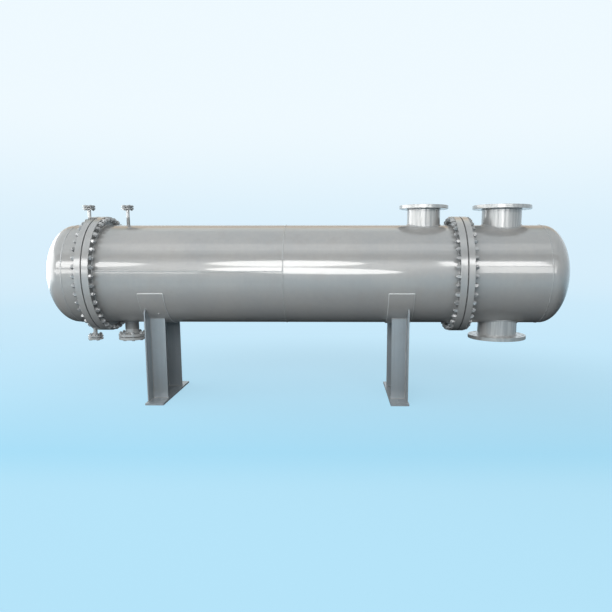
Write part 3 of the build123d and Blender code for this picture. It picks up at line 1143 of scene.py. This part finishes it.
def make_floor():
    """Pale blue that fades to the horizon, lit near the vessel and glowing by itself far from it."""
    floor = Finish("pale_floor")
    across = floor.axis("X") - CLEAR_CENTRE[0]
    depth = floor.axis("Y")
    nearness = NEAR_DEPTH / (depth - CAMERA_PLACE.y)
    colour = floor.mix(nearness, HORIZON, NEAR_FLOOR)
    colour = floor.mix((depth * -1.0).ramp(*FRONT_EDGE), colour, FRONT_FLOOR)
    colour = floor.mix(CLEAR_REACH / distance(across, depth - CLEAR_CENTRE[1]), HORIZON, colour)
    seen = seen_ray(floor)
    lit = floor.node("ShaderNodeBsdfDiffuse", None, {"Color": floor.mix(seen, DARK_FLOOR, colour)})
    glow = floor.node("ShaderNodeEmission", None, {"Color": colour, "Strength": 1.0})
    far = ((across * across * 0.5 + depth * depth) ** 0.5).ramp(*LIT_REACH)
    return floor.done(floor.blend((far * (1 - FLOOR_GLOW) + FLOOR_GLOW) * seen, lit, glow))


def make_sky():
    """A pale gradient where it is looked at, and else dim white light, weaker from the right."""
    world = bpy.data.worlds.new("studio_sky")
    world.use_nodes = True
    sky = Tree(world.node_tree)
    sky.tree.nodes.clear()
    looking = sky.node("ShaderNodeTexCoord", output="Generated")
    tone = sky.mix(sky.part(looking, "Z").ramp(*HAZE), HORIZON, HIGH_SKY)
    seen = sky.node("ShaderNodeBackground", None, {"Color": tone, "Strength": 1.0})
    light = (1 - sky.part(looking, "X").ramp(*SHADED_SIDE) * SHADE) * SKY_LIGHT
    lit = sky.node("ShaderNodeBackground", None, {"Color": (0.98, 0.99, 1.0, 1.0), "Strength": light})
    sky.node("ShaderNodeOutputWorld", None, {"Surface": sky.blend(seen_ray(sky), lit, seen)})
    return world


def stage_card(name, corners, material):
    """A flat card of the studio, given by its four corners."""
    mesh = bpy.data.meshes.new(name)
    mesh.from_pydata(corners, [], [(0, 1, 2, 3)])
    mesh.materials.append(material)
    card = link_mesh(name, mesh)
    return card


def lying(x, y, z):
    """The corners of a level card between two x and two y."""
    return ((x[0], y[0], z), (x[1], y[0], z), (x[1], y[1], z), (x[0], y[1], z))


def standing(x, y, z):
    """The corners of an upright card between two x and two z."""
    return ((x[0], y, z[0]), (x[1], y, z[0]), (x[1], y, z[1]), (x[0], y, z[1]))


bpy.context.scene.world = make_sky()
floor_span = (-FLOOR_REACH, FLOOR_REACH)
stage_card("studio_floor", lying(floor_span, floor_span, 0), make_floor())
print("sky and floor ready")

# %% [markdown]
# ## Cards that only reflections see
#
# Glossy paint shows what stands round it, and a photographer hangs cards where a dark or
# a coloured reflection is wanted. A black one lies on the floor round the vessel and
# darkens its underside, a black one hangs high in front and parts the bright band from
# the top, and a brown one behind warms the crown as the photograph's surroundings do.
# Each thins out softly towards its edges, and only glossy rays see it, so it neither
# shows itself nor takes light or shadow from anything.

# %% Reflection cards
BLACK = grey(0.01)


def shine_card(name, corners, look):
    """A card that only shows in reflections. Look gives its colour and how much it covers."""
    card = Finish(name)
    shade, cover = look(card)
    colour = card.node("ShaderNodeEmission", None, {"Color": shade, "Strength": 1.0})
    clear = card.node("ShaderNodeBsdfTransparent")
    thing = stage_card(name, corners, card.done(card.blend(cover, clear, colour)))
    for ray in ("camera", "diffuse", "transmission", "volume_scatter", "shadow"):
        setattr(thing, "visible_" + ray, False)


def black_below(card):
    """Full under the vessel, thinning out in front of it, behind it and to its sides."""
    depth = card.axis("Y")
    sideways = abs(card.axis("X") - 0.2).ramp(2.6, 8.0)
    return BLACK, depth.ramp(-3.4, 0.0) * (1 - depth.ramp(3.6, 6.0)) * (1 - sideways)


def black_above(card):
    """Strongest between two heights, with soft edges above and below."""
    height = card.axis("Z")
    return BLACK, height.ramp(5.2, 5.5) * (1 - height.ramp(7.5, 9.0)) * 0.9


def brown_behind(card):
    """Brown, turning to a grey green above, and thinning out below, above and to both sides."""
    height = card.axis("Z")
    sideways = abs(card.axis("X") - 0.3).ramp(6.0, 13.0)
    colour = card.mix(height.ramp(7.5, 11.0), (0.76, 0.58, 0.39, 1.0), (0.48, 0.56, 0.50, 1.0))
    return colour, height.ramp(4.0, 6.4) * (1 - height.ramp(10.0, 15.0)) * (1 - sideways)


shine_card("black_card", lying((-8, 8.4), (-3.4, 6), 0.003), black_below)
shine_card("black_flag", standing((-10, 10), -6.45, (5.2, 9)), black_above)
shine_card("brown_card", standing((-14, 14), 8, (3.8, 15)), brown_behind)
print("reflection cards ready")

# %% [markdown]
# ## Lamps
#
# Long bright bands on a round shell are reflections of windows. Two upright oval panels
# in front make the bands in the middle, others carry them on to the left end and the
# channel, and a dim wide one fills between them. Panels at the left wall give the dished
# head and the nozzle necks their white edge. Three fill panels light the paint without
# showing in it, so that the front, the back and the channel's end stay readable. Each
# panel's power follows from how bright its surface should be, so a larger one isn't
# brighter to look at.

# %% Lamps
WINDOW_Y = -6.5
VESSEL_MIDDLE = (0.3, 0.0, 1.1)


def panel(name, place, size, brightness, aim, shape="RECTANGLE"):
    """A soft panel that faces a point. Brightness is how bright its surface is."""
    lamp = bpy.data.lights.new(name, "AREA")
    lamp.shape = shape
    lamp.size, lamp.size_y = size
    share = math.pi / 4 if shape == "ELLIPSE" else 1.0
    lamp.energy = brightness * math.pi * size[0] * size[1] * share
    lamp.color = (1.0, 0.99, 0.975)
    thing = bpy.data.objects.new(name, lamp)
    thing.location = place
    thing.rotation_euler = (Vector(aim) - Vector(place)).to_track_quat("-Z", "Y").to_euler()
    thing.visible_camera = False
    bpy.context.scene.collection.objects.link(thing)
    return thing


def front_window(name, left, right, low, high, brightness, shape="RECTANGLE", tilt=0.0):
    """An upright panel in front of the vessel, given by its edges. Tilt lowers its right end."""
    place = Vector(((left + right) / 2, WINDOW_Y, (low + high) / 2))
    window = panel(name, place, (right - left, high - low), brightness, place + Vector((0, 1, 0)), shape)
    window.rotation_euler.rotate_axis("Z", -tilt)


front_window("middle_upper_window", -2.1, 1.0, 3.25, 5.15, 7.8, "ELLIPSE")
front_window("middle_lower_window", -2.05, 1.7, 1.4, 2.95, 7.8, "ELLIPSE", math.radians(14))
front_window("right_upper_window", 2.5, 4.6, 3.4, 4.85, 7.4)
front_window("right_lower_window", 3.1, 4.6, 1.6, 3.2, 4.4)
front_window("left_window", -7.0, -3.3, 2.95, 4.8, 6.5, "ELLIPSE")
front_window("left_low_window", -12.0, -2.1, 1.7, 2.3, 4.7, "RECTANGLE", math.radians(3))
front_window("left_middle_window", -7.2, -4.1, 1.2, 2.6, 4.0, "ELLIPSE")
front_window("wide_window", -5.2, 3.7, 2.4, 4.7, 0.8, "ELLIPSE")
panel("overhead_panel", (0.3, -2.65, 6.5), (8.0, 2.1), 0.75, (0.3, -2.65, 0.0))
for name, place, size, brightness in (("front_fill_panel", (-0.1, -5.6, 6.4), (4.0, 3.0), 0.9),
                                      ("back_fill_panel", (0.3, 7.0, 2.2), (9.0, 3.0), 1.3),
                                      ("end_fill_panel", (6.5, 4.5, 2.2), (3.0, 3.0), 2.0)):
    panel(name, place, size, brightness, VESSEL_MIDDLE).visible_glossy = False
panel("left_wall_panel", (-6.5, 0.9, 2.05), (9.4, 3.9), 1.7, (0.0, 0.9, 2.05))
panel("left_far_panel", (-6.6, 1.6, 2.15), (8.0, 3.3), 1.7, (0.0, 1.6, 2.15))
panel("back_panel", (0.3, 5.0, 7.0), (8.0, 2.5), 0.5, (0.3, 0.0, 1.0))
print("lamps:", len(bpy.data.lights))
